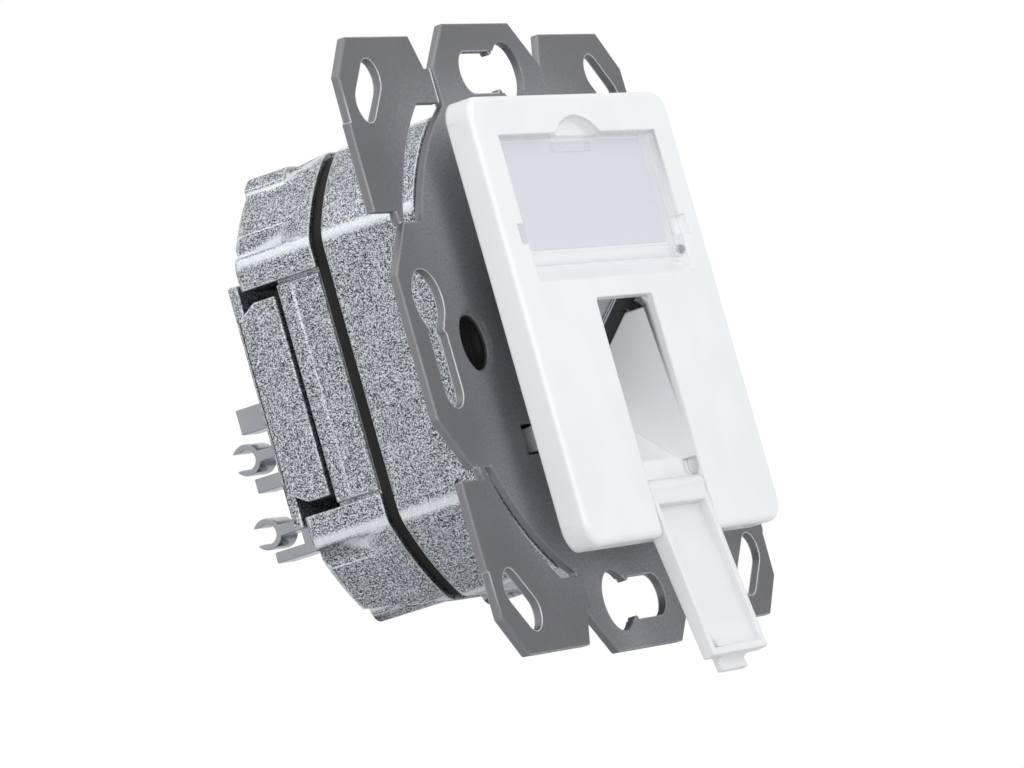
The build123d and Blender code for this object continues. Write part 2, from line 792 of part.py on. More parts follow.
# Rear cover: chamfered cast lid over the wiring space
cover_half = cover_height / 2
with BuildPart() as rear_cover:
    with BuildSketch(side_plane(0)):
        Polygon(
            (cover_front, -cover_half),
            (cover_front, cover_half),
            (cover_back - 1.5 * cover_chamfer, cover_half),
            (cover_back, cover_half - cover_chamfer),
            (cover_back, cover_chamfer - cover_half),
            (cover_back - 1.5 * cover_chamfer, -cover_half),
            align=None,
        )
    extrude(amount=half_housing, both=True)
    chamfer(rear_cover.faces().sort_by(Axis.Y)[-1].edges(), plate_edge)
    # Flange that reaches behind the corner blocks
    with BuildSketch(wall_plane(rear_housing_end + flange_gap)):
        Rectangle(flange_width, flange_height)
    extrude(amount=rear_housing_end + flange_gap - cover_back)
    with BuildSketch(wall_plane(cover_front)):
        Rectangle(housing_size - 2 * cover_wall, cover_height - 2 * cover_wall)
    extrude(amount=cover_wall + cover_front - cover_back, mode=Mode.SUBTRACT)
    with BuildSketch(wall_plane(cover_front)):
        with Locations(*cover_screw_places):
            RegularPolygon(screw_boss_radius, boss_sides)
    extrude(amount=cover_front - cover_back + cover_wall / 2)
    with BuildSketch(wall_plane(cover_back)):
        with Locations((0, cable_entry_height)):
            Circle(cable_entry_radius)
        with Locations(*cover_screw_places):
            RegularPolygon(clear_radius, bore_sides)
    extrude(amount=cover_back - cover_front, mode=Mode.SUBTRACT)
    with BuildSketch(wall_plane(cover_back)):
        with Locations(*cover_screw_places):
            RegularPolygon(head_clear_radius, bore_sides)
    extrude(amount=screw_head_height + seat_gap, mode=Mode.SUBTRACT)

# Strain relief combs: a spine with three bars and two cradles that open to the rear
cradle_depth = cover_back + comb_reach
comb_top = comb_bars[0][0] + comb_bars[0][1] / 2
comb_foot = comb_bars[-1][0] - comb_bars[-1][1] / 2
with BuildPart() as cable_comb_left:
    with BuildSketch(side_plane(-comb_x)):
        with Locations((cover_back + comb_base / 2, (comb_top + comb_foot) / 2)):
            Rectangle(comb_base, comb_top - comb_foot)
        for height, thickness in comb_bars:
            with Locations((cover_back + bar_reach / 2, height)):
                Rectangle(bar_reach, thickness)
        for height in cradle_heights:
            with Locations((cover_back + comb_reach / 2, height)):
                Rectangle(comb_reach, comb_stem)
            with Locations((cradle_depth, height)):
                Circle(cradle_radius)
        for height in cradle_heights:
            with Locations((cradle_depth, height)):
                Circle(cradle_radius - cradle_wall, mode=Mode.SUBTRACT)
            with Locations((cradle_depth + cradle_radius, height)):
                Rectangle(2 * cradle_radius, cradle_mouth, mode=Mode.SUBTRACT)
    extrude(amount=comb_width / 2, both=True)

with BuildPart() as cable_comb_right:
    mirror(cable_comb_left.part, about=Plane.YZ)

# Screws: heads on plain shanks in the bores
shank_radius = screw_radius - thread_play


def make_screw(length):
    """Screw whose head stands out to the front from the origin."""
    with BuildPart() as screw:
        with BuildSketch(wall_plane(0)):
            RegularPolygon(screw_head_radius, bore_sides)
        extrude(amount=screw_head_height)
        with BuildSketch(wall_plane(0)):
            RegularPolygon(shank_radius, bore_sides)
        extrude(amount=-length)
    return screw.part


turned_round = (0, 0, 180)
ring_screw = make_screw(ring_thickness + screw_bite - seat_gap)
with BuildPart() as ring_screws:
    with Locations(*[(x, ring_front, z) for x, z in ring_screw_places]):
        add(ring_screw)

housing_screw_seat = rear_housing_end - screw_head_height - seat_gap
housing_screw = make_screw(housing_screw_seat - front_housing_end + screw_bite - seat_gap)
with BuildPart() as housing_screws:
    seats = [(x, housing_screw_seat, z) for x, z in screw_places]
    with Locations(*[Location(seat, turned_round) for seat in seats]):
        add(housing_screw)

cover_screw_seat = cover_back - screw_head_height - seat_gap
cover_screw = make_screw(cover_screw_seat - frame_end - seat_gap)
with BuildPart() as cover_screws:
    seats = [(x, cover_screw_seat, z) for x, z in cover_screw_places]
    with Locations(*[Location(seat, turned_round) for seat in seats]):
        add(cover_screw)

# Jack: bright shield round a dark insert that stands on the board
shield_front = spring_thickness
insert_width = shield_width - 2 * shield_wall - 2 * insert_gap
insert_height = shield_height - 2 * shield_wall - 2 * insert_gap
with BuildPart() as jack_shield:
    with BuildSketch(jack_plane.offset(shield_front)):
        Rectangle(shield_width, shield_height)
        shield_inside = shield_width - 2 * shield_wall
        Rectangle(shield_inside, shield_height - 2 * shield_wall, mode=Mode.SUBTRACT)
    extrude(amount=board_front - shield_front)

contact_row = plug_shift + plug_height / 2 - contact_rise
contact_places = [
    ((index - (contact_count - 1) / 2) * contact_pitch, contact_row)
    for index in range(contact_count)
]
with BuildPart() as jack_insert:
    with BuildSketch(jack_plane):
        Rectangle(insert_width, insert_height)
    extrude(amount=board_front)
    with BuildSketch(jack_plane):
        with Locations((0, plug_shift)):
            Rectangle(plug_width, plug_height)
        with Locations((0, plug_shift - plug_height / 2)):
            Rectangle(latch_width, 2 * latch_height)
    extrude(amount=plug_depth, mode=Mode.SUBTRACT)
    with BuildSketch(jack_plane.offset(plug_depth)):
        with Locations(*contact_places):
            Rectangle(contact_width + 2 * insert_gap, contact_width + 2 * insert_gap)
    extrude(amount=board_front - plug_depth, mode=Mode.SUBTRACT)

with BuildPart() as jack_contacts:
    floor = plug_shift + plug_height / 2
    half = contact_width / 2
    for place, row in contact_places:
        with BuildSketch(side_plane(place)):
            Polygon(
                on_slope(floor, contact_start),
                on_slope(floor, contact_start + 2 * contact_width),
                on_slope(row + half, contact_bend),
                on_slope(row + half, board_rear + contact_tail),
                on_slope(row - half, board_rear + contact_tail),
                on_slope(row - half, contact_bend),
                align=None,
            )
        extrude(amount=half, both=True)

with BuildPart() as circuit_board:
    with BuildSketch(jack_plane.offset(board_front)):
        Rectangle(board_width, board_height)
        with Locations(*contact_places):
            tail_hole = contact_width + 2 * insert_gap
            Rectangle(tail_hole, tail_hole, mode=Mode.SUBTRACT)
    extrude(amount=board_thickness)

# Terminal blocks on the rear of the board, with a blade in every wire slot
terminal_places = [
    (-terminal_x + (index - (terminal_count - 1) / 2) * terminal_pitch, 0)
    for index in range(terminal_count)
]
with BuildPart() as terminal_block_left:
    with BuildSketch(jack_plane.offset(board_rear)):
        with Locations((-terminal_x, 0)):
            Rectangle(terminal_width, terminal_height)
    extrude(amount=terminal_depth)
    with BuildSketch(jack_plane.offset(board_rear + terminal_depth)):
        with Locations(*terminal_places):
            Rectangle(wire_slot_width, terminal_height)
    extrude(amount=-wire_slot_depth, mode=Mode.SUBTRACT)
    with BuildSketch(jack_plane.offset(board_rear)):
        with Locations(*terminal_places):
            Rectangle(blade_thickness + 2 * insert_gap, blade_width + 2 * insert_gap)
    extrude(amount=terminal_depth, mode=Mode.SUBTRACT)

with BuildPart() as terminal_blades_left:
    with BuildSketch(jack_plane.offset(board_rear)):
        with Locations(*terminal_places):
            Rectangle(blade_thickness, blade_width)
    extrude(amount=blade_height)

with BuildPart() as terminal_block_right:
    mirror(terminal_block_left.part, about=Plane.YZ)

with BuildPart() as terminal_blades_right:
    mirror(terminal_blades_left.part, about=Plane.YZ)

# Earth spring: strip from the shield's upper side to the inside of the front housing
with BuildPart() as earth_spring:
    upper = -shield_height / 2
    inner_wall = ring_rear + housing_wall
    spring_top = ring_window_height / 2 + spring_foot
    with BuildSketch(side_plane(0)):
        Polygon(
            on_slope(upper, spring_start),
            on_slope(upper, spring_bend),
            (inner_wall, spring_top - spring_foot),
            (inner_wall, spring_top),
            (inner_wall + spring_thickness, spring_top),
            (inner_wall + spring_thickness, spring_top - spring_foot),
            on_slope(upper - spring_thickness, spring_bend + spring_thickness + spring_foot / 3),
            on_slope(upper - spring_thickness, spring_start),
            align=None,
        )
    extrude(amount=spring_width / 2, both=True)


os.makedirs("parts", exist_ok=True)
centre_plate.part.label = "centre_plate"
export_step(centre_plate.part, "parts/centre_plate.step")
label_insert.part.label = "label_insert"
export_step(label_insert.part, "parts/label_insert.step")
label_window.part.label = "label_window"
export_step(label_window.part, "parts/label_window.step")
dust_flap.part.label = "dust_flap"
export_step(dust_flap.part, "parts/dust_flap.step")
support_ring.part.label = "support_ring"
export_step(support_ring.part, "parts/support_ring.step")
ring_screws.part.label = "ring_screws"
export_step(ring_screws.part, "parts/ring_screws.step")
front_housing.part.label = "front_housing"
export_step(front_housing.part, "parts/front_housing.step")
carrier_frame.part.label = "carrier_frame"
export_step(carrier_frame.part, "parts/carrier_frame.step")
rear_housing.part.label = "rear_housing"
export_step(rear_housing.part, "parts/rear_housing.step")
housing_screws.part.label = "housing_screws"
export_step(housing_screws.part, "parts/housing_screws.step")
rear_cover.part.label = "rear_cover"
export_step(rear_cover.part, "parts/rear_cover.step")
cover_screws.part.label = "cover_screws"
export_step(cover_screws.part, "parts/cover_screws.step")
cable_comb_left.part.label = "cable_comb_left"
export_step(cable_comb_left.part, "parts/cable_comb_left.step")
cable_comb_right.part.label = "cable_comb_right"
export_step(cable_comb_right.part, "parts/cable_comb_right.step")
jack_shield.part.label = "jack_shield"
export_step(jack_shield.part, "parts/jack_shield.step")
jack_insert.part.label = "jack_insert"
export_step(jack_insert.part, "parts/jack_insert.step")
jack_contacts.part.label = "jack_contacts"
export_step(jack_contacts.part, "parts/jack_contacts.step")
circuit_board.part.label = "circuit_board"
export_step(circuit_board.part, "parts/circuit_board.step")
terminal_block_left.part.label = "terminal_block_left"
export_step(terminal_block_left.part, "parts/terminal_block_left.step")
terminal_block_right.part.label = "terminal_block_right"
export_step(terminal_block_right.part, "parts/terminal_block_right.step")
terminal_blades_left.part.label = "terminal_blades_left"
export_step(terminal_blades_left.part, "parts/terminal_blades_left.step")
terminal_blades_right.part.label = "terminal_blades_right"
export_step(terminal_blades_right.part, "parts/terminal_blades_right.step")
earth_spring.part.label = "earth_spring"
export_step(earth_spring.part, "parts/earth_spring.step")
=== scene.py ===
"""Dressed model of a flush-mounting data outlet with a label window and a dust flap.

Sizes are in millimetres unless a name says otherwise, and are turned into metres where
a mesh is made. +X is right, +Z is up and +Y goes into the wall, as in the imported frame.
"""

import logging
import math
from dataclasses import dataclass, field
from enum import Enum

import bmesh
import bpy
from mathutils import Matrix, Vector


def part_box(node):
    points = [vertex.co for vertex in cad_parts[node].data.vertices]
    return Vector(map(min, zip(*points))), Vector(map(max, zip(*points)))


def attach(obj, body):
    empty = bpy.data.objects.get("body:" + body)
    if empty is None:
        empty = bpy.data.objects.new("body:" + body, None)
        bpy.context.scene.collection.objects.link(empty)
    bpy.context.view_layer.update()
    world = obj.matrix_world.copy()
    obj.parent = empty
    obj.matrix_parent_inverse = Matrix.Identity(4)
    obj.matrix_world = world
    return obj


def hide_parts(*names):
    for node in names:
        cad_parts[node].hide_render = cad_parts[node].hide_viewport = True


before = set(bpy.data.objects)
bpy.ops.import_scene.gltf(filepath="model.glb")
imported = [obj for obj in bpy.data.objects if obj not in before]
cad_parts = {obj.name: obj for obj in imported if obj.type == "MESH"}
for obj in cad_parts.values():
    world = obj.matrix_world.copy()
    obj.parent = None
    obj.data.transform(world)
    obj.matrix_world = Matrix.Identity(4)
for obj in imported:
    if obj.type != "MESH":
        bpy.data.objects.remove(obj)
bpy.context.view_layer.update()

LOG = logging.getLogger("outlet")
MM = 0.001
FLAT_TURN = 0.6
SHARP_TURN = 32.0
SMOOTH_TURN = 40.0
TOUCHING = 0.0005

Colour = tuple[float, float, float]
Triple = tuple[float, float, float]
Span = tuple[float, float]


class Body(Enum):
    """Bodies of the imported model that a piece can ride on."""

    OUTLET = "outlet"
    WINDOW = "window"
    FLAP = "flap"


class Slot(Enum):
    """Material slots of the record."""

    WHITE = "white_plastic"
    CLEAR = "clear_plastic"
    MILKY = "milky_plastic"
    RING = "ring_steel"
    ZINC = "zinc_casting"
    BLACK = "black_plastic"
    SCREW = "screw_steel"
    COMB = "comb_metal"
    SHIELD = "shield_metal"


class Signal:
    """Output of a shader node, with arithmetic that adds Math nodes."""

    def __init__(self, graph: "Graph", socket: bpy.types.NodeSocket) -> None:
        """Wrap a socket.

        Args:
            graph: The graph that the socket's node is in.
            socket: The output socket.
        """
        self.graph = graph
        self.socket = socket

    def _math(self, operation: str, left: "Signal | float", right: "Signal | float") -> "Signal":
        """Add a Math node.

        Args:
            operation: The node's operation.
            left: First value.
            right: Second value.

        Returns:
            The node's result.
        """
        node = self.graph.node("ShaderNodeMath", {"operation": operation}, {0: left, 1: right})
        return Signal(self.graph, node.outputs[0])

    def __add__(self, other: "Signal | float") -> "Signal":
        """Sum."""
        return self._math("ADD", self, other)

    __radd__ = __add__

    def __sub__(self, other: "Signal | float") -> "Signal":
        """Difference."""
        return self._math("SUBTRACT", self, other)

    def __rsub__(self, other: "Signal | float") -> "Signal":
        """Difference from a number."""
        return self._math("SUBTRACT", other, self)

    def __mul__(self, other: "Signal | float") -> "Signal":
        """Product."""
        return self._math("MULTIPLY", self, other)

    __rmul__ = __mul__

    def __abs__(self) -> "Signal":
        """Size without its sign."""
        return self._math("ABSOLUTE", self, 0.0)

    def most(self, other: "Signal | float") -> "Signal":
        """Larger of two values."""
        return self._math("MAXIMUM", self, other)


class Graph:
    """Node tree of one material or world, with one way to add a node."""

    def __init__(self, tree: bpy.types.NodeTree) -> None:
        """Empty the tree and keep it.

        Args:
            tree: The node tree to fill.
        """
        self.tree = tree
        tree.nodes.clear()

    def node(self, kind: str, settings: dict | None = None, inputs: dict | None = None) -> bpy.types.Node:
        """Add a node, its settings first and its sockets after them.

        Args:
            kind: Blender's type name of the node.
            settings: Properties by name.
            inputs: Values or signals by socket name or number.

        Returns:
            The new node.
        """
        node = self.tree.nodes.new(kind)
        for name, value in (settings or {}).items():
            setattr(node, name, value)
        for name, value in (inputs or {}).items():
            socket = node.inputs[name]
            if isinstance(value, Signal):
                self.tree.links.new(value.socket, socket)
            elif socket.type == "RGBA" and len(value) == 3:
                socket.default_value = (*value, 1.0)
            else:
                socket.default_value = value
        return node

    def place(self) -> Signal:
        """Object coordinates of the shaded point."""
        return Signal(self, self.node("ShaderNodeTexCoord").outputs["Object"])

    def facing(self) -> tuple[Signal, Signal, Signal]:
        """Surface direction in the object's own axes, as three values."""
        coords = self.node("ShaderNodeTexCoord")
        parts = self.node("ShaderNodeSeparateXYZ", None, {0: Signal(self, coords.outputs["Normal"])})
        return tuple(Signal(self, socket) for socket in parts.outputs)

    def noise(self, grain: float, detail: float = 2.0, stretch: Triple = (1.0, 1.0, 1.0)) -> Signal:
        """Cloudy pattern.

        Args:
            grain: Size of its patches in millimetres.
            detail: Octaves of finer noise.
            stretch: Factors on the three axes, below 1 to draw the pattern out.

        Returns:
            A value from about 0.3 to 0.7.
        """
        vector = self.place()
        if stretch != (1.0, 1.0, 1.0):
            mapped = self.node("ShaderNodeMapping", None, {"Vector": vector, "Scale": stretch})
            vector = Signal(self, mapped.outputs[0])
        noise = self.node(
            "ShaderNodeTexNoise", None, {"Vector": vector, "Scale": 1.0 / (grain * MM), "Detail": detail}
        )
        return Signal(self, noise.outputs[0])

    def cells(self, grain: float) -> Signal:
        """Random grey for each small cell, as bead blasting leaves.

        Args:
            grain: Size of a cell in millimetres.

        Returns:
            A value from 0 to 1, the same all over a cell.
        """
        cells = self.node(
            "ShaderNodeTexVoronoi", None, {"Vector": self.place(), "Scale": 1.0 / (grain * MM)}
        )
        parts = self.node("ShaderNodeSeparateXYZ", None, {0: Signal(self, cells.outputs["Color"])})
        return Signal(self, parts.outputs[0])

    def band(self, value: Signal, low: float, high: float) -> Signal:
        """Smooth step.

        Args:
            value: What is compared.
            low: Where the result is 0.
            high: Where the result is 1.

        Returns:
            A value from 0 to 1.
        """
        node = self.node(
            "ShaderNodeMapRange",
            {"interpolation_type": "SMOOTHSTEP"},
            {"Value": value, "From Min": low, "From Max": high},
        )
        return Signal(self, node.outputs[0])

    def blend(self, factor: Signal, low: "Colour | Signal", high: "Colour | Signal") -> Signal:
        """Mix of two colours.

        Args:
            factor: 0 gives the first and 1 the second.
            low: First colour.
            high: Second colour.

        Returns:
            The mixed colour.
        """
        node = self.node("ShaderNodeMix", {"data_type": "RGBA"}, {0: factor, 6: low, 7: high})
        return Signal(self, node.outputs[2])

    def rounded(self, radius: float) -> Signal:
        """Surface direction with the edges rounded off.

        Args:
            radius: Radius of the edges in millimetres.

        Returns:
            The rounded normal.
        """
        node = self.node("ShaderNodeBevel", {"samples": 6}, {"Radius": radius * MM})
        return Signal(self, node.outputs[0])

    def edge(self, rounded: Signal, least: float = 0.01, most: float = 0.16) -> Signal:
        """Mask of the edges, from how far the rounded surface turns there.

        Args:
            rounded: The rounded normal.
            least: Turn at which the edge begins, as 1 less the turn's cosine.
            most: Turn at which it is whole.

        Returns:
            A value from 0 on a face to 1 on an edge.
        """
        true = Signal(self, self.node("ShaderNodeNewGeometry").outputs["Normal"])
        agree = self.node("ShaderNodeVectorMath", {"operation": "DOT_PRODUCT"}, {0: rounded, 1: true})
        return self.band(1.0 - Signal(self, agree.outputs["Value"]), least, most)

    def openness(self, reach: float) -> Signal:
        """How open the surroundings of the surface are.

        Args:
            reach: How far other surfaces count, in millimetres.

        Returns:
            A value from 0 where the surface is hidden to 1 where it is open.
        """
        node = self.node("ShaderNodeAmbientOcclusion", {"samples": 8}, {"Distance": reach * MM})
        return Signal(self, node.outputs["AO"])

    def bump(self, height: Signal, depth: float, under: "Signal | None" = None) -> Signal:
        """Relief.

        Args:
            height: Height as a value from 0 to 1.
            depth: Height of the relief in millimetres.
            under: Normal that the relief lies on, the surface's own if none is given.

        Returns:
            The bumped normal.
        """
        inputs = {"Height": height, "Distance": depth * MM}
        if under is not None:
            inputs["Normal"] = under
        node = self.node("ShaderNodeBump", None, inputs)
        return Signal(self, node.outputs[0])

    def surface(self, **sockets: "Signal | float | Colour") -> None:
        """Close the tree with a Principled shader.

        Args:
            **sockets: Values by socket name, with an underscore for each space.
        """
        inputs = {name.replace("_", " "): value for name, value in sockets.items()}
        shader = self.node("ShaderNodeBsdfPrincipled", None, inputs)
        self.node("ShaderNodeOutputMaterial", None, {0: Signal(self, shader.outputs[0])})


def shade(colour: Colour, factor: float) -> Colour:
    """Colour made lighter or darker.

    Args:
        colour: The colour.
        factor: What each channel is multiplied by.

    Returns:
        The new colour.
    """
    return tuple(min(channel * factor, 1.0) for channel in colour)


@dataclass(frozen=True)
class Finish:
    """What every finish starts from."""

    name: str
    colour: Colour
    roughness: float

    def fill(self, graph: Graph) -> None:
        """Build the finish's nodes."""
        raise NotImplementedError

    def material(self) -> bpy.types.Material:
        """Material of this finish, made once."""
        found = bpy.data.materials.get(self.name)
        if found is None:
            found = bpy.data.materials.new(self.name)
            found.use_nodes = True
            self.fill(Graph(found.node_tree))
        return found


@dataclass(frozen=True)
class Moulding(Finish):
    """Moulded plastic: faint clouding, fine spark-eroded texture, soft gloss.

    A white plastic is given painted light in its hollows: its colour is made lighter where other surfaces
    hide it, as light passed on through the plastic would make it.
    """

    clouding: float = 0.03
    cloud_size: float = 9.0
    cloud_band: Span = (0.35, 0.65)
    cloud_relief: float = 0.4
    cloud_dulling: float = 0.10
    texture_grain: float = 0.22
    texture_depth: float = 0.004
    texture_dulling: float = 0.06
    coat: float = 0.0
    coat_roughness: float = 0.12
    gloss: float = 0.5
    edge_radius: float = 0.3
    painted_hollow_light: float = 0.0
    hollow_light_reach: float = 10.0

    def fill(self, graph: Graph) -> None:
        """Build the finish's nodes."""
        clouds = graph.noise(self.cloud_size)
        fine = graph.noise(self.texture_grain, 1.0)
        rounded = graph.rounded(self.edge_radius)
        uneven = self.cloud_dulling * (clouds - 0.5) + self.texture_dulling * (fine - 0.5)
        body = graph.blend(
            graph.band(clouds, *self.cloud_band), self.colour, shade(self.colour, 1.0 - self.clouding)
        )
        # painted light: the colour is made lighter where other surfaces hide the plastic
        if self.painted_hollow_light:
            open_sky = graph.openness(self.hollow_light_reach)
            body = graph.blend(open_sky, shade(self.colour, 1.0 + self.painted_hollow_light), body)
        graph.surface(
            Base_Color=body,
            Roughness=self.roughness + uneven,
            Specular_IOR_Level=self.gloss,
            Coat_Weight=self.coat,
            Coat_Roughness=self.coat_roughness,
            Normal=graph.bump(fine + self.cloud_relief * clouds, self.texture_depth, rounded),
        )


@dataclass(frozen=True)
class ClearMoulding(Finish):
    """Clear plastic sheet: nearly invisible face on, with painted shade at its edges and edge on, standing
    in for light bent there.
    """

    edge_shade_colour: Colour = (0.22, 0.24, 0.28)
    face_alpha: float = 0.12
    edge_alpha: float = 0.8
    edge_radius: float = 0.16
    turned_share: float = 1.1
    turned_blend: float = 0.3
    ripple_size: float = 6.0
    ripple_depth: float = 0.01
    ripple_dulling: float = 0.03
    coat: float = 0.6
    coat_roughness: float = 0.03

    def fill(self, graph: Graph) -> None:
        """Build the finish's nodes."""
        rim = graph.node("ShaderNodeLayerWeight", None, {"Blend": self.turned_blend})
        turned = Signal(graph, rim.outputs["Facing"])
        rounded = graph.rounded(self.edge_radius)
        edge = graph.edge(rounded).most(turned * turned * self.turned_share)
        ripple = graph.noise(self.ripple_size)
        span = self.edge_alpha - self.face_alpha
        graph.surface(
            # painted shade: edges and edge-on parts are darkened, standing in for light bent there
            Base_Color=graph.blend(edge, self.colour, self.edge_shade_colour),
            Roughness=self.roughness + self.ripple_dulling * (ripple - 0.5),
            Alpha=self.face_alpha + span * edge,
            Coat_Weight=self.coat,
            Coat_Roughness=self.coat_roughness,
            Normal=graph.bump(ripple, self.ripple_depth, rounded),
        )


@dataclass(frozen=True)
class MilkyMoulding(Finish):
    """Milky plastic that lets some light through, denser along its edges."""

    alpha: float = 0.84
    edge_filling: float = 0.8
    edge_radius: float = 0.3
    cloud_size: float = 4.0
    cloud_shade: float = 0.95
    cloud_dulling: float = 0.08
    texture_grain: float = 0.3
    texture_depth: float = 0.004
    glow_weight: float = 0.3
    glow_reach: float = 1.2

    def fill(self, graph: Graph) -> None:
        """Build the finish's nodes."""
        clouds = graph.noise(self.cloud_size)
        fine = graph.noise(self.texture_grain, 1.0)
        rounded = graph.rounded(self.edge_radius)
        edge = graph.edge(rounded)
        graph.surface(
            Base_Color=graph.blend(clouds, self.colour, shade(self.colour, self.cloud_shade)),
            Roughness=self.roughness + self.cloud_dulling * (clouds - 0.5),
            Subsurface_Weight=self.glow_weight,
            Subsurface_Radius=(1.0, 1.0, 1.0),
            Subsurface_Scale=self.glow_reach * MM,
            Alpha=self.alpha + (1.0 - self.alpha) * edge * self.edge_filling,
            Normal=graph.bump(fine, self.texture_depth, rounded),
        )


@dataclass(frozen=True)
class Card(Finish):
    """Plain pale card with faint fibres."""

    fibre_size: float = 0.35
    fibre_draw: Triple = (0.35, 1.0, 1.0)
    fibre_share: float = 0.6
    fibre_depth: float = 0.01
    cloud_size: float = 7.0
    cloud_shade: float = 0.93
    cloud_dulling: float = 0.06

    def fill(self, graph: Graph) -> None:
        """Build the finish's nodes."""
        fibres = graph.noise(self.fibre_size, 3.0, self.fibre_draw)
        clouds = graph.noise(self.cloud_size)
        mottle = fibres * self.fibre_share + clouds * (1.0 - self.fibre_share)
        graph.surface(
            Base_Color=graph.blend(mottle, self.colour, shade(self.colour, self.cloud_shade)),
            Roughness=self.roughness + self.cloud_dulling * (clouds - 0.5),
            Normal=graph.bump(fibres, self.fibre_depth),
        )


@dataclass(frozen=True)
class CastMetal(Finish):
    """Bead-blasted casting: fine grain over slow clouding, with painted highlights on round corners and
    edges.
    """

    grain: float = 0.1
    grain_band: Span = (0.12, 0.88)
    grain_depth: float = 0.03
    grain_gloss: float = 0.14
    dark: float = 0.05
    bright: float = 2.3
    painted_highlight: float = 2.9
    cloud_size: float = 11.0
    cloud_span: Span = (0.9, 1.1)
    cloud_dulling: float = 0.1
    metallic: float = 0.88
    edge_radius: float = 0.4
    edge_highlight_share: float = 0.7
    corner_highlight_share: float = 0.75
    corner_highlight_start: Span = (0.08, 0.28)
    corner_highlight_end: Span = (0.36, 0.46)

    def fill(self, graph: Graph) -> None:
        """Build the finish's nodes."""
        cells = graph.band(graph.cells(self.grain), *self.grain_band)
        fine = graph.noise(self.grain, 2.0)
        clouds = graph.noise(self.cloud_size)
        rounded = graph.rounded(self.edge_radius)
        dull, clear = (shade(self.colour, self.dark * share) for share in self.cloud_span)
        grains = graph.blend(cells, graph.blend(clouds, dull, clear), shade(self.colour, self.bright))
        # painted highlight: round corners and edges are made lighter, as light reflected there would make
        # them
        across, _, up = graph.facing()
        bend = abs(across * up)
        begun, ended = graph.band(bend, *self.corner_highlight_start), graph.band(bend, *self.corner_highlight_end)
        highlight_mask = (begun * (1.0 - ended) * self.corner_highlight_share).most(graph.edge(rounded) * self.edge_highlight_share)
        graph.surface(
            Base_Color=graph.blend(highlight_mask, grains, shade(self.colour, self.painted_highlight)),
            Metallic=self.metallic,
            Roughness=self.roughness - self.grain_gloss * cells + self.cloud_dulling * (clouds - 0.5),
            Normal=graph.bump(cells * 0.5 + fine, self.grain_depth, rounded),
        )


@dataclass(frozen=True)
class SheetMetal(Finish):
    """Stamped sheet: satin faces with a fine grain, paler cuts and painted highlights along its rims.

    Painted light makes it lighter where another piece hides it, standing in for light that pale pieces throw
    back onto it, and darker where it is open.
    """

    cut_colour: Colour = (0.23, 0.235, 0.25)
    cut_band: Span = (0.35, 0.8)
    cut_gloss: float = 0.08
    rim_highlight_colour: Colour = (0.90, 0.91, 0.93)
    rim_highlight_share: float = 0.9
    grain: float = 0.3
    grain_band: Span = (0.3, 0.7)
    grain_share: float = 0.4
    grain_shade: float = 0.66
    grain_depth: float = 0.006
    grain_dulling: float = 0.14
    cloud_size: float = 13.0
    cloud_span: Span = (0.84, 1.18)
    cloud_relief: float = 0.5
    metallic: Span = (0.25, 0.9)
    edge_radius: float = 0.28
    bounce_light_share: float = 2.3
    open_light_share: float = 0.72
    bounce_light_reach: float = 14.0
    bounce_light_band: Span = (0.3, 1.0)

    def fill(self, graph: Graph) -> None:
        """Build the finish's nodes."""
        _, into_wall, _ = graph.facing()
        cut = 1.0 - graph.band(abs(into_wall), *self.cut_band)
        fine = graph.noise(self.grain, 3.0)
        clouds = graph.noise(self.cloud_size)
        rounded = graph.rounded(self.edge_radius)
        # painted light: lighter where other pieces hide the sheet, darker where it is open
        open_sky = graph.band(graph.openness(self.bounce_light_reach), *self.bounce_light_band)
        hidden, bare = (shade(self.colour, share) for share in (self.bounce_light_share, self.open_light_share))
        dull, clear = (
            graph.blend(open_sky, shade(hidden, share), shade(bare, share)) for share in self.cloud_span
        )
        body = graph.blend(clouds, dull, clear)
        speckle = graph.band(fine, *self.grain_band) * self.grain_share
        grainy = graph.blend(speckle, body, shade(self.colour, self.grain_shade))
        faces = graph.blend(cut, grainy, self.cut_colour)
        low, high = self.metallic
        graph.surface(
            # painted highlight along the rounded rims
            Base_Color=graph.blend(graph.edge(rounded) * self.rim_highlight_share, faces, self.rim_highlight_colour),
            Metallic=low + (high - low) * cut,
            Roughness=self.roughness + self.grain_dulling * (fine - 0.5) - self.cut_gloss * cut,
            Normal=graph.bump(fine + self.cloud_relief * clouds, self.grain_depth, rounded),
        )


@dataclass(frozen=True)
class BrightMetal(Finish):
    """Plated or tinned metal with a faint drawn grain and painted highlights along its edges."""

    drawn: Triple = (1.0, 1.0, 0.15)
    line_size: float = 0.18
    line_depth: float = 0.006
    line_dulling: float = 0.12
    cloud_size: float = 3.0
    cloud_shade: float = 0.8
    cloud_dulling: float = 0.1
    edge_radius: float = 0.12
    edge_highlight_share: float = 0.5
    edge_highlight_shade: float = 1.5

    def fill(self, graph: Graph) -> None:
        """Build the finish's nodes."""
        lines = graph.noise(self.line_size, 2.0, self.drawn)
        clouds = graph.noise(self.cloud_size)
        rounded = graph.rounded(self.edge_radius)
        # painted highlight: edges are made lighter, as light reflected there would make them
        edge = graph.edge(rounded) * self.edge_highlight_share
        faces = graph.blend(clouds, self.colour, shade(self.colour, self.cloud_shade))
        uneven = self.line_dulling * (lines - 0.5) + self.cloud_dulling * (clouds - 0.5)
        graph.surface(
            Base_Color=graph.blend(edge, faces, shade(self.colour, self.edge_highlight_shade)),
            Metallic=1.0,
            Roughness=self.roughness + uneven,
            Normal=graph.bump(lines, self.line_depth, rounded),
        )


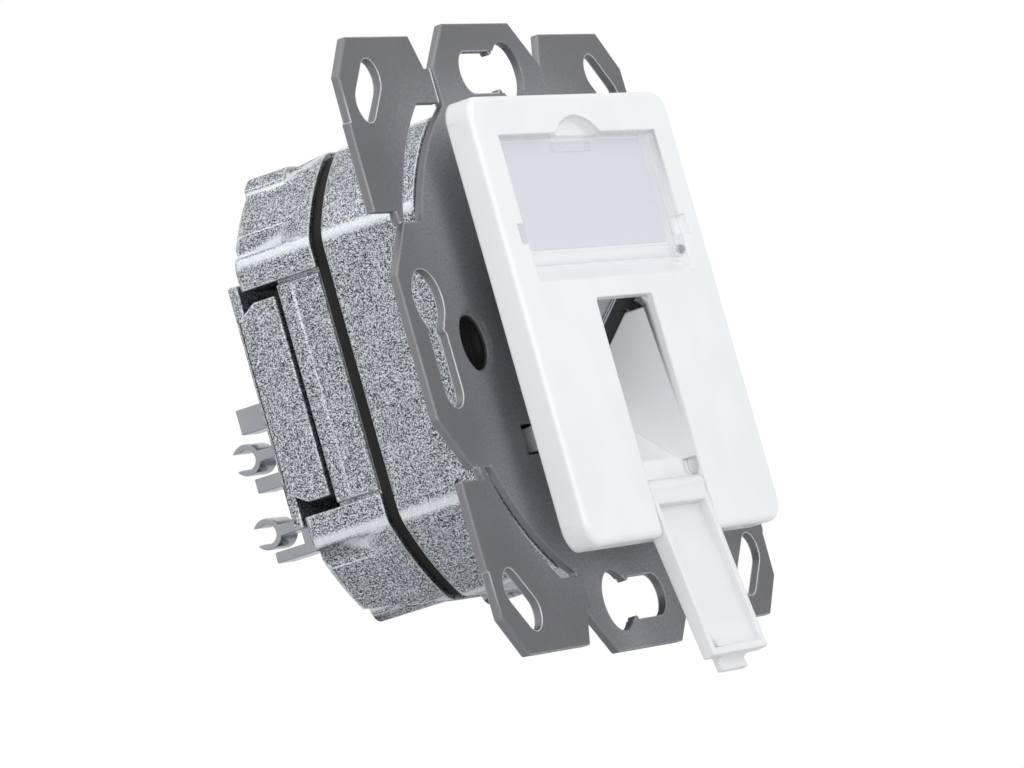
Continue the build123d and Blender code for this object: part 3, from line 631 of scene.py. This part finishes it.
@dataclass(frozen=True)
class Laminate(Finish):
    """Circuit board: lacquer over copper that shows as paler fields."""

    copper_tint: Colour = (0.16, 0.40, 0.20)
    copper_share: float = 0.7
    field_scale: float = 420.0
    field_gap: float = 0.03
    weave_size: float = 0.3
    weave_depth: float = 0.01
    weave_dulling: float = 0.1
    coat: float = 0.4

    def fill(self, graph: Graph) -> None:
        """Build the finish's nodes."""
        fields = graph.node(
            "ShaderNodeTexBrick",
            {"offset": 0.5},
            {"Vector": graph.place(), "Scale": self.field_scale, "Mortar Size": self.field_gap},
        )
        weave = graph.noise(self.weave_size, 1.0)
        copper = Signal(graph, fields.outputs["Fac"])
        graph.surface(
            Base_Color=graph.blend(copper * self.copper_share, self.colour, self.copper_tint),
            Roughness=self.roughness + self.weave_dulling * (weave - 0.5),
            Coat_Weight=self.coat,
            Normal=graph.bump(weave + copper, self.weave_depth),
        )


class Kit:
    """All the finishes of the outlet."""

    white = Moulding("moulded_white", (0.80, 0.825, 0.84), 0.36, coat=0.12, painted_hollow_light=0.22)
    clear = ClearMoulding("moulded_clear", (0.90, 0.92, 0.96), 0.06)
    milky = MilkyMoulding("moulded_milky", (0.89, 0.90, 0.92), 0.30)
    card = Card("label_card", (0.68, 0.71, 0.79), 0.75)
    zinc = CastMetal("blasted_zinc", (0.31, 0.33, 0.355), 0.46)
    ring = SheetMetal("satin_sheet_steel", (0.175, 0.178, 0.19), 0.60)
    black = Moulding(
        "moulded_black", (0.010, 0.010, 0.011), 0.55, clouding=0.2, texture_depth=0.008, gloss=0.25
    )
    screw = BrightMetal("plated_screw_steel", (0.50, 0.51, 0.53), 0.28)
    comb = BrightMetal("bright_clamp_metal", (0.37, 0.39, 0.42), 0.20, drawn=(0.15, 1.0, 1.0))
    shield = BrightMetal("tinned_shield_sheet", (0.48, 0.49, 0.52), 0.24)
    contact = BrightMetal("gilt_contact_wire", (0.80, 0.58, 0.22), 0.18)
    laminate = Laminate("board_lacquer", (0.03, 0.16, 0.07), 0.4)
    terminal = Moulding("moulded_terminal", (0.72, 0.71, 0.66), 0.45)


class Workpiece:
    """One mesh on its way to a finished object."""

    def __init__(self, name: str) -> None:
        """Start an empty mesh.

        Args:
            name: Name of the finished object.
        """
        self.name = name
        self.mesh = bmesh.new()

    @classmethod
    def copy_of(cls, node: str) -> "Workpiece":
        """Copy a CAD node's mesh with its triangles merged into whole faces.

        Args:
            node: Name of the CAD node.

        Returns:
            The workpiece, named after the node.
        """
        piece = cls(node + "_dressed")
        piece.mesh.from_mesh(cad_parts[node].data)
        bmesh.ops.remove_doubles(piece.mesh, verts=piece.mesh.verts, dist=TOUCHING * MM)
        bmesh.ops.dissolve_limit(
            piece.mesh,
            angle_limit=math.radians(FLAT_TURN),
            use_dissolve_boundaries=False,
            verts=piece.mesh.verts,
            edges=piece.mesh.edges,
        )
        return piece

    def soften(self, width: float, segments: int = 2, shortest: float = 0.0) -> "Workpiece":
        """Round the outer edges.

        Args:
            width: Width of the rounding in millimetres.
            segments: Facets across it.
            shortest: Edges shorter than this, in millimetres, are left sharp.

        Returns:
            The workpiece itself.
        """
        limit = math.radians(SHARP_TURN)
        sharp = [
            edge for edge in self.mesh.edges
            if edge.is_manifold
            and edge.calc_face_angle_signed() > limit
            and edge.calc_length() >= shortest * MM
        ]
        bmesh.ops.bevel(
            self.mesh,
            geom=sharp,
            offset=width * MM,
            offset_type="OFFSET",
            affect="EDGES",
            segments=segments,
            profile=0.5,
            material=-1,
            clamp_overlap=False,
            loop_slide=True,
        )
        return self

    def finish(self, body: Body, slot: Slot, finish: Finish, nodes: tuple[str, ...]) -> bpy.types.Object:
        """Turn the mesh into an object that rides on a body.

        Args:
            body: Body that carries the piece.
            slot: Material slot of the record; not used.
            finish: Finish of its surface.
            nodes: CAD nodes that it stands for.

        Returns:
            The new object.
        """
        data = bpy.data.meshes.new(self.name)
        self.mesh.to_mesh(data)
        self.mesh.free()
        for polygon in data.polygons:
            polygon.use_smooth = True
        data.set_sharp_from_angle(angle=math.radians(SMOOTH_TURN))
        data.materials.append(finish.material())
        thing = bpy.data.objects.new(self.name, data)
        bpy.context.scene.collection.objects.link(thing)
        level = thing.modifiers.new("even_shading", "WEIGHTED_NORMAL")
        level.keep_sharp = True
        level.weight = 100
        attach(thing, body.value)
        if nodes:
            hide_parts(*nodes)
        LOG.info("%s: %d faces, stands for %s", self.name, len(data.polygons), ", ".join(nodes) or "no node")
        return thing

    def block(self, size: Triple, where: Matrix) -> "Workpiece":
        """Add a box.

        Args:
            size: Its three sides in millimetres.
            where: Place and turn of its middle, in metres.

        Returns:
            The workpiece itself.
        """
        scale = Matrix.Diagonal((*(side * MM for side in size), 1.0))
        bmesh.ops.create_cube(self.mesh, size=1.0, matrix=where @ scale)
        return self

    def lathe(self, profile: list[tuple[float, float]], centre: Vector, steps: int) -> "Workpiece":
        """Spin a profile about the wall's normal.

        Args:
            profile: Radius and depth of each point in millimetres.
            centre: Point of the axis that the depths are measured from, in metres.
            steps: Facets round the axis.

        Returns:
            The workpiece itself.
        """
        points = [
            self.mesh.verts.new((centre.x + radius * MM, centre.y + depth * MM, centre.z))
            for radius, depth in profile
        ]
        lines = [self.mesh.edges.new(pair) for pair in zip(points, points[1:])]
        bmesh.ops.spin(
            self.mesh,
            geom=points + lines,
            cent=centre,
            axis=(0.0, 1.0, 0.0),
            angle=math.tau,
            steps=steps,
            use_merge=True,
        )
        bmesh.ops.remove_doubles(self.mesh, verts=self.mesh.verts, dist=0.002 * MM)
        bmesh.ops.recalc_face_normals(self.mesh, faces=self.mesh.faces)
        return self


@dataclass
class DressedNode:
    """CAD node whose shape is right and whose edges are rounded."""

    node: str
    body: Body
    slot: Slot
    finish: Finish
    edge: float
    shortest: float = 0.0
    segments: int = 2

    def build(self) -> bpy.types.Object:
        """Dress the node.

        Returns:
            The piece that stands for it.
        """
        piece = Workpiece.copy_of(self.node).soften(self.edge, self.segments, self.shortest)
        return piece.finish(self.body, self.slot, self.finish, (self.node,))


@dataclass
class Face:
    """What is seen from the room: plate, label, window and flap."""

    plate_edge: float = 0.12
    plate_shortest: float = 2.0
    window_edge: float = 0.1
    window_shortest: float = 0.5
    flap_edge: float = 0.12

    def build(self) -> None:
        """Build the pieces of the face."""
        plate = (self.plate_edge, self.plate_shortest)
        DressedNode("centre_plate", Body.OUTLET, Slot.WHITE, Kit.white, *plate).build()
        window = (self.window_edge, self.window_shortest)
        DressedNode("label_window", Body.WINDOW, Slot.CLEAR, Kit.clear, *window).build()
        DressedNode("dust_flap", Body.FLAP, Slot.MILKY, Kit.milky, self.flap_edge).build()
        paint("label_insert", Kit.card)


@dataclass
class Carrier:
    """Support ring, castings and frame, with black pads behind the ring's relief holes as painted shade."""

    ring_edge: float = 0.14
    ring_shortest: float = 0.5
    casting_edge: float = 0.2
    rear_edge: float = 0.15
    rear_shortest: float = 1.5
    frame_edge: float = 0.1
    pad_place: float = 21.4
    pad_radius: float = 3.05
    pad_front: float = -0.62
    pad_back: float = -0.5
    pad_rim: float = 0.3
    pad_dish: float = 0.2
    pad_floor: float = 0.04
    pad_steps: int = 48

    def build(self) -> None:
        """Build the ring, the castings and the frame between them."""
        for node, slot, finish, edge, shortest in (
            ("support_ring", Slot.RING, Kit.ring, self.ring_edge, self.ring_shortest),
            ("front_housing", Slot.ZINC, Kit.zinc, self.casting_edge, 0.0),
            ("rear_housing", Slot.ZINC, Kit.zinc, self.rear_edge, self.rear_shortest),
            ("rear_cover", Slot.ZINC, Kit.zinc, self.casting_edge, 0.0),
            ("carrier_frame", Slot.BLACK, Kit.black, self.frame_edge, 0.0),
        ):
            DressedNode(node, Body.OUTLET, slot, finish, edge, shortest).build()
        self.pads()

    def pads(self) -> None:
        """Dark dished pads that show through the relief holes, put there as painted shade for the shade
        inside the holes.
        """
        pads = Workpiece("relief_hole_shade_pads")
        rim = self.pad_radius - self.pad_rim
        floor = self.pad_back - self.pad_floor
        profile = [
            (0.0, self.pad_back),
            (self.pad_radius, self.pad_back),
            (self.pad_radius, self.pad_front),
            (rim, self.pad_front),
            (rim - self.pad_dish, floor),
            (0.0, floor),
        ]
        # painted shade: black pads where the relief holes show only shade
        for side in (-1, 1):
            pads.lathe(profile, Vector((side * self.pad_place * MM, 0.0, 0.0)), self.pad_steps)
        pads.finish(Body.OUTLET, Slot.BLACK, Kit.black, ())


@dataclass
class StrainRelief:
    """Combs that grip the cable behind the cover."""

    edge: float = 0.1

    def build(self) -> None:
        """Build both combs."""
        for node in ("cable_comb_left", "cable_comb_right"):
            DressedNode(node, Body.OUTLET, Slot.COMB, Kit.comb, self.edge).build()


@dataclass
class ScrewSet:
    """Cross-recessed screws of one node, which all face the same way."""

    node: str
    to_front: bool
    head_radius: float = 1.9
    head_height: float = 1.2
    head_round: tuple[Span, ...] = ((1.0, 0.55), (0.94, 0.8), (0.8, 1.0))
    shank_radius: float = 1.04
    thread_depth: float = 0.2
    thread_pitch: float = 0.55
    tip_length: float = 0.3
    tip_taper: float = 0.7
    recess_half: float = 0.24
    recess_reach: float = 1.05
    recess_depth: float = 0.75
    recess_taper: float = 0.7
    level: float = 0.01
    steps: int = 32

    def profile(self, length: float, way: float) -> list[tuple[float, float]]:
        """Outline of half a screw, from its tip to the rim of its head's top.

        Args:
            length: Length of the shank in millimetres.
            way: -1 where the head faces the room, 1 where it faces the wall.

        Returns:
            Radius and depth of each point, from the seat of the head.
        """
        root = self.shank_radius - self.thread_depth
        start = -length + self.tip_length
        points = [(0.0, -length), (root * self.tip_taper, -length), (root, start)]
        for turn in range(int((length - 2 * self.tip_length) / self.thread_pitch)):
            foot = start + turn * self.thread_pitch
            points.append((self.shank_radius, foot + self.thread_pitch / 2))
            points.append((root, foot + self.thread_pitch))
        points += [(root, 0.0), (self.head_radius, 0.0)]
        points += [(self.head_radius * out, self.head_height * up) for out, up in self.head_round]
        return [(radius, way * depth) for radius, depth in points]

    def recess(self, screw: Workpiece, centre: Vector, way: float) -> None:
        """Close the head's top and press a cross into it.

        Args:
            screw: The screw.
            centre: Seat of the head, in metres.
            way: -1 where the head faces the room, 1 where it faces the wall.
        """
        mesh = screw.mesh
        top = centre.y + way * self.head_height * MM
        rim = [edge for edge in mesh.edges if edge.is_boundary]
        faces = bmesh.ops.contextual_create(mesh, geom=rim)["faces"]
        for axis, normal in ((0, (1.0, 0.0, 0.0)), (2, (0.0, 0.0, 1.0))):
            for distance in (self.recess_half, self.recess_reach):
                for side in (-1, 1):
                    point = centre.copy()
                    point[axis] += side * distance * MM
                    geom = {*faces}
                    for face in faces:
                        geom.update(face.edges, face.verts)
                    bmesh.ops.bisect_plane(mesh, geom=list(geom), plane_co=point, plane_no=normal)
                    faces = [
                        face for face in mesh.faces
                        if all(abs(vert.co.y - top) < self.level * MM for vert in face.verts)
                    ]
        pressed = []
        for face in faces:
            middle = face.calc_center_median() - centre
            small, large = sorted((abs(middle.x) / MM, abs(middle.z) / MM))
            if small < self.recess_half and large < self.recess_reach:
                pressed.append(face)
        made = bmesh.ops.extrude_face_region(mesh, geom=pressed)["geom"]
        floor = [item for item in made if isinstance(item, bmesh.types.BMVert)]
        bmesh.ops.translate(mesh, verts=floor, vec=(0.0, -way * self.recess_depth * MM, 0.0))
        narrower = (self.recess_taper, 1.0, self.recess_taper)
        bmesh.ops.scale(mesh, verts=floor, vec=narrower, space=Matrix.Translation(-centre))

    def build(self) -> None:
        """Build the screws where the node's are."""
        low, high = (Vector(corner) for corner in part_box(self.node))
        way = -1.0 if self.to_front else 1.0
        seat = (low.y if self.to_front else high.y) - way * self.head_height * MM
        length = (high.y - low.y) / MM - self.head_height
        across = high.x - self.head_radius * MM
        upper, lower = high.z - self.head_radius * MM, low.z + self.head_radius * MM
        piece = Workpiece(self.node + "_dressed")
        for height in sorted({round(upper, 6), round(lower, 6)}):
            for side in (-1, 1):
                screw = Workpiece("screw")
                centre = Vector((side * across, seat, height))
                screw.lathe(self.profile(length, way), centre, self.steps)
                self.recess(screw, centre, way)
                bmesh.ops.recalc_face_normals(screw.mesh, faces=screw.mesh.faces)
                single = bpy.data.meshes.new("screw")
                screw.mesh.to_mesh(single)
                screw.mesh.free()
                piece.mesh.from_mesh(single)
                bpy.data.meshes.remove(single)
        piece.finish(Body.OUTLET, Slot.SCREW, Kit.screw, (self.node,))


@dataclass
class JackMouth:
    """Dark apron over the jack and the bright lip of its shield, on the jack's sloping face."""

    face_depth: float = -1.9
    face_height: float = -3.3
    slope: float = 45.0
    apron_top: float = 8.75
    apron_foot: float = 6.35
    apron_half: float = 7.45
    apron_thickness: float = 0.3
    lip_right: float = 1.1
    lip_left: float = -7.2
    lip_foot: float = 3.4
    lip_thickness: float = 0.22
    lip_gap: float = 0.05
    bead_width: float = 0.35
    bead_height: float = 0.5
    seat: float = 0.1
    edge: float = 0.08

    def slab(self, piece: Workpiece, across: Span, up: Span, out: Span) -> None:
        """Add a box that lies along the jack's face.

        Args:
            piece: The workpiece.
            across: Left and right ends in millimetres.
            up: Lower and upper ends along the slope.
            out: Back and front, out of the face.
        """
        turn = Matrix.Rotation(math.radians(self.slope), 4, "X")
        face = Matrix.Translation((0.0, self.face_depth * MM, self.face_height * MM)) @ turn
        middle = [(low + high) / 2 * MM for low, high in (across, out, up)]
        size = (across[1] - across[0], out[1] - out[0], up[1] - up[0])
        where = face @ Matrix.Translation((middle[0], -middle[1], middle[2]))
        piece.block(size, where)

    def build(self) -> None:
        """Build the apron and the lip."""
        half, front = self.apron_half, self.seat + self.apron_thickness
        apron = Workpiece("jack_apron")
        self.slab(apron, (-half, half), (self.apron_foot, self.apron_top), (self.seat, front))
        apron.soften(self.edge).finish(Body.OUTLET, Slot.BLACK, Kit.black, ())
        lip = Workpiece("shield_lip")
        up = (self.lip_foot, self.apron_top)
        front += self.lip_gap
        self.slab(lip, (self.lip_left, self.lip_right), up, (front, front + self.lip_thickness))
        bead = (self.lip_right - self.bead_width, self.lip_right)
        self.slab(lip, bead, up, (front, front + self.bead_height))
        lip.soften(self.edge).finish(Body.OUTLET, Slot.SHIELD, Kit.shield, ())


def paint(node: str, finish: Finish) -> None:
    """Give a CAD node a finish.

    Args:
        node: Name of the node.
        finish: Its finish.
    """
    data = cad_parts[node].data
    data.materials.clear()
    data.materials.append(finish.material())
    LOG.info("%s: kept, with %s", node, finish.name)


@dataclass
class Works:
    """Jack, board, terminals and screws."""

    front_screws: tuple[str, ...] = ("ring_screws",)
    rear_screws: tuple[str, ...] = ("housing_screws", "cover_screws")
    painted: dict[str, Finish] = field(default_factory=lambda: {
        "jack_shield": Kit.shield,
        "jack_insert": Kit.black,
        "jack_contacts": Kit.contact,
        "circuit_board": Kit.laminate,
        "terminal_block_left": Kit.terminal,
        "terminal_block_right": Kit.terminal,
        "terminal_blades_left": Kit.shield,
        "terminal_blades_right": Kit.shield,
        "earth_spring": Kit.shield,
    })

    def build(self) -> None:
        """Finish what is inside and build the screws and the jack's mouth."""
        for node, finish in self.painted.items():
            paint(node, finish)
        for node in self.front_screws + self.rear_screws:
            ScrewSet(node, to_front=node in self.front_screws).build()
        JackMouth().build()


@dataclass(frozen=True)
class Lamp:
    """Soft square lamp, in metres and watts."""

    name: str
    place: Triple
    aim: Triple
    side: float
    watts: float

    def build(self) -> None:
        """Hang the lamp."""
        light = bpy.data.lights.new(self.name, "AREA")
        light.shape = "SQUARE"
        light.size = self.side
        light.energy = self.watts
        thing = bpy.data.objects.new(self.name, light)
        way = Vector(self.aim) - Vector(self.place)
        turn = way.to_track_quat("-Z", "Y").to_matrix().to_4x4()
        thing.matrix_world = Matrix.Translation(self.place) @ turn
        bpy.context.scene.collection.objects.link(thing)


@dataclass
class Studio:
    """Camera, lamps, floor and background."""

    image_width: float = 1024.0
    focal_pixels: float = 8082.62362
    centre_right: float = 0.25789
    centre_down: float = 3.26732
    sensor_width: float = 36.0
    nearest: float = 0.05
    camera_place: Triple = (-0.79821097731, -0.37637035027, -0.07831248349)
    view_right: Triple = (0.43643225, -0.85777617, -0.27156386)
    view_down: Triple = (-0.04508356, 0.280598, -0.958766)
    view_forward: Triple = (0.8986069, 0.43067946, 0.08379041)
    floor_height: float = -0.0465
    floor_half: float = 1.5
    floor_colour: Colour = (0.9, 0.9, 0.9)
    fill_light: float = 0.70
    lamps: tuple[Lamp, ...] = (
        Lamp("key_lamp", (0.1, -0.85, 0.7), (0.0, 0.0, 0.0), 0.55, 1.5),
        Lamp("top_lamp", (-0.45, 0.1, 0.95), (0.0, 0.0, 0.0), 0.5, 1.8),
        Lamp("front_lamp", (-0.62, -0.75, 0.13), (0.0, 0.0, 0.0), 0.32, 2.6),
    )

    def camera(self) -> None:
        """Set up the camera at the photograph's angle."""
        data = bpy.data.cameras.new("camera")
        thing = bpy.data.objects.new("camera", data)
        columns = (
            self.view_right,
            tuple(-part for part in self.view_down),
            tuple(-part for part in self.view_forward),
            self.camera_place,
        )
        thing.matrix_world = Matrix([[column[row] for column in columns] for row in range(3)]).to_4x4()
        data.sensor_width = self.sensor_width
        data.lens = self.focal_pixels / self.image_width * self.sensor_width
        data.shift_x = -self.centre_right / self.image_width
        data.shift_y = self.centre_down / self.image_width
        data.clip_start = self.nearest
        bpy.context.scene.collection.objects.link(thing)
        bpy.context.scene.camera = thing

    def background(self) -> None:
        """White behind the object, and a dimmer white as its fill light."""
        world = bpy.data.worlds.new("surroundings")
        world.use_nodes = True
        graph = Graph(world.node_tree)
        rays = graph.node("ShaderNodeLightPath")
        seen = Signal(graph, rays.outputs["Is Camera Ray"])
        seen = seen.most(Signal(graph, rays.outputs["Is Glossy Ray"]))
        seen = seen.most(Signal(graph, rays.outputs["Is Transmission Ray"]))
        strength = self.fill_light + (1.0 - self.fill_light) * seen
        glow = graph.node("ShaderNodeBackground", None, {"Color": (1.0, 1.0, 1.0), "Strength": strength})
        graph.node("ShaderNodeOutputWorld", None, {0: Signal(graph, glow.outputs[0])})
        bpy.context.scene.world = world

    def floor(self) -> None:
        """Pale floor under the object, clear from below."""
        sheet = bmesh.new()
        bmesh.ops.create_grid(sheet, x_segments=1, y_segments=1, size=self.floor_half)
        bmesh.ops.translate(sheet, verts=sheet.verts, vec=(0.0, 0.0, self.floor_height))
        data = bpy.data.meshes.new("floor")
        sheet.to_mesh(data)
        sheet.free()
        thing = bpy.data.objects.new("floor", data)
        material = bpy.data.materials.new("pale_floor")
        material.use_nodes = True
        graph = Graph(material.node_tree)
        rays = graph.node("ShaderNodeLightPath")
        under = graph.node("ShaderNodeNewGeometry")
        clear = Signal(graph, rays.outputs["Is Camera Ray"]) * Signal(graph, under.outputs["Backfacing"])
        pale = graph.node("ShaderNodeBsdfDiffuse", None, {"Color": self.floor_colour})
        through = graph.node("ShaderNodeBsdfTransparent")
        mixed = graph.node(
            "ShaderNodeMixShader",
            None,
            {0: clear, 1: Signal(graph, pale.outputs[0]), 2: Signal(graph, through.outputs[0])},
        )
        graph.node("ShaderNodeOutputMaterial", None, {0: Signal(graph, mixed.outputs[0])})
        data.materials.append(material)
        bpy.context.scene.collection.objects.link(thing)

    def build(self) -> None:
        """Set up everything that isn't the object."""
        self.camera()
        self.background()
        self.floor()
        for lamp in self.lamps:
            lamp.build()
        bpy.context.scene.view_settings.view_transform = "Standard"


def main() -> None:
    """Build the dressed model and the studio."""
    logging.basicConfig(level=logging.INFO, format="%(name)s: %(message)s")
    Studio().build()
    for assembly in (Face(), Carrier(), StrainRelief(), Works()):
        LOG.info("building %s", type(assembly).__name__)
        assembly.build()


if __name__ == "__main__":
    main()
